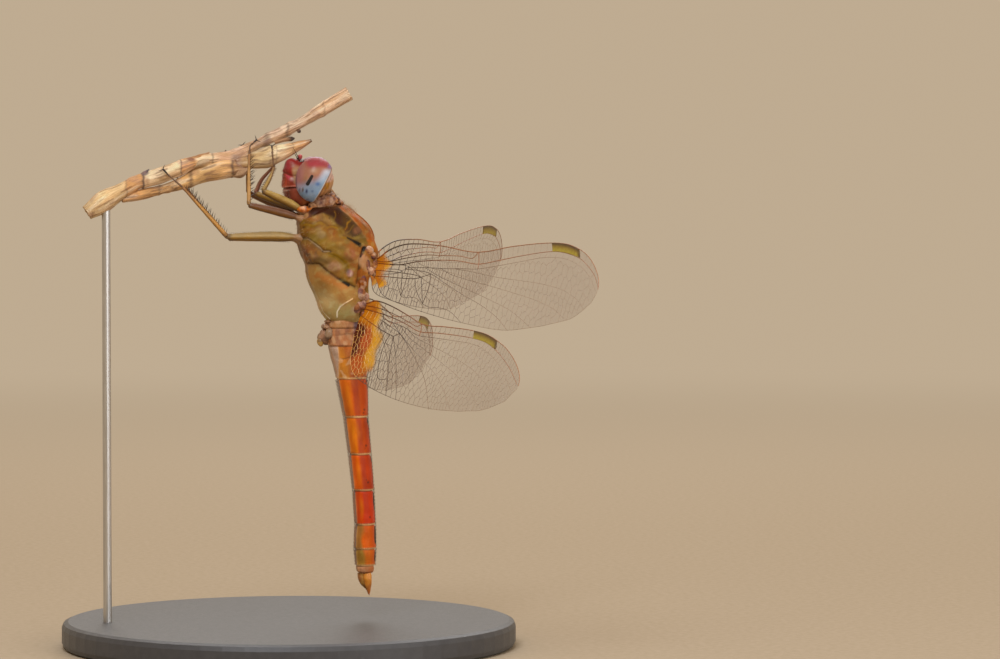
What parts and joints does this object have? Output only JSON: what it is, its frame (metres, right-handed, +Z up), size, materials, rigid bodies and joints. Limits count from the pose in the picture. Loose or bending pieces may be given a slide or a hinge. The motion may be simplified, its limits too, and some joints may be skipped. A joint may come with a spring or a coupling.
{
  "type": "dragonfly",
  "caption": "Still life-size red dragonfly hanging head up under a cut twig, wings spread back, on a plain display stand with a round base and a rod.",
  "frame": {"origin": "centre of the underside of the stand's base", "axes": "+Z up; the animal hangs in the plane Y = 0, its back towards +X, its belly and face towards -X, its left side towards -Y"},
  "size_m": [0.0464, 0.0562, 0.0529],
  "materials": {
    "cuticle_head": "satin brick-red face, red upper lip and orange-brown back of the head",
    "eye": "glossy compound eye, crimson above fading to pale blue-grey below",
    "cuticle_thorax": "olive-ochre plates with dark sutures and fine hair",
    "cuticle_abdomen": "satin orange-red segments with pale joints and a dark dorsal line",
    "cuticle_leg": "yellow-brown legs with black spines",
    "wing": "clear membrane with a net of brown veins and an amber patch at the base",
    "twig": "dry pale straw-brown stem",
    "stand_base": "satin charcoal paint",
    "stand_rod": "fine brushed steel"
  },
  "bodies": {
    "root": {"abdomen_1": "cuticle_abdomen", "abdomen_10": "cuticle_abdomen", "abdomen_2": "cuticle_abdomen", "abdomen_3": "cuticle_abdomen", "abdomen_4": "cuticle_abdomen", "abdomen_5": "cuticle_abdomen", "abdomen_6": "cuticle_abdomen", "abdomen_7": "cuticle_abdomen", "abdomen_8": "cuticle_abdomen", "abdomen_9": "cuticle_abdomen", "antenna_left": "cuticle_head", "antenna_right": "cuticle_head", "cercus_left": "cuticle_abdomen", "cercus_right": "cuticle_abdomen", "clypeus": "cuticle_head", "epiproct": "cuticle_abdomen", "eye_left": "eye", "eye_right": "eye", "fore_femur_left": "cuticle_leg", "fore_femur_right": "cuticle_leg", "fore_tarsus_left": "cuticle_leg", "fore_tarsus_right": "cuticle_leg", "fore_tibia_left": "cuticle_leg", "fore_tibia_right": "cuticle_leg", "forewing_left": "wing", "forewing_right": "wing", "frons": "cuticle_head", "head": "cuticle_head", "hind_femur_left": "cuticle_leg", "hind_femur_right": "cuticle_leg", "hind_tarsus_left": "cuticle_leg", "hind_tarsus_right": "cuticle_leg", "hind_tibia_left": "cuticle_leg", "hind_tibia_right": "cuticle_leg", "hindwing_left": "wing", "hindwing_right": "wing", "mid_femur_left": "cuticle_leg", "mid_femur_right": "cuticle_leg", "mid_tarsus_left": "cuticle_leg", "mid_tarsus_right": "cuticle_leg", "mid_tibia_left": "cuticle_leg", "mid_tibia_right": "cuticle_leg", "mouthparts": "cuticle_head", "neck": "cuticle_thorax", "stand_base": "stand_base", "stand_rod": "stand_rod", "thorax": "cuticle_thorax", "twig": "twig"}
  },
  "joints": []
}
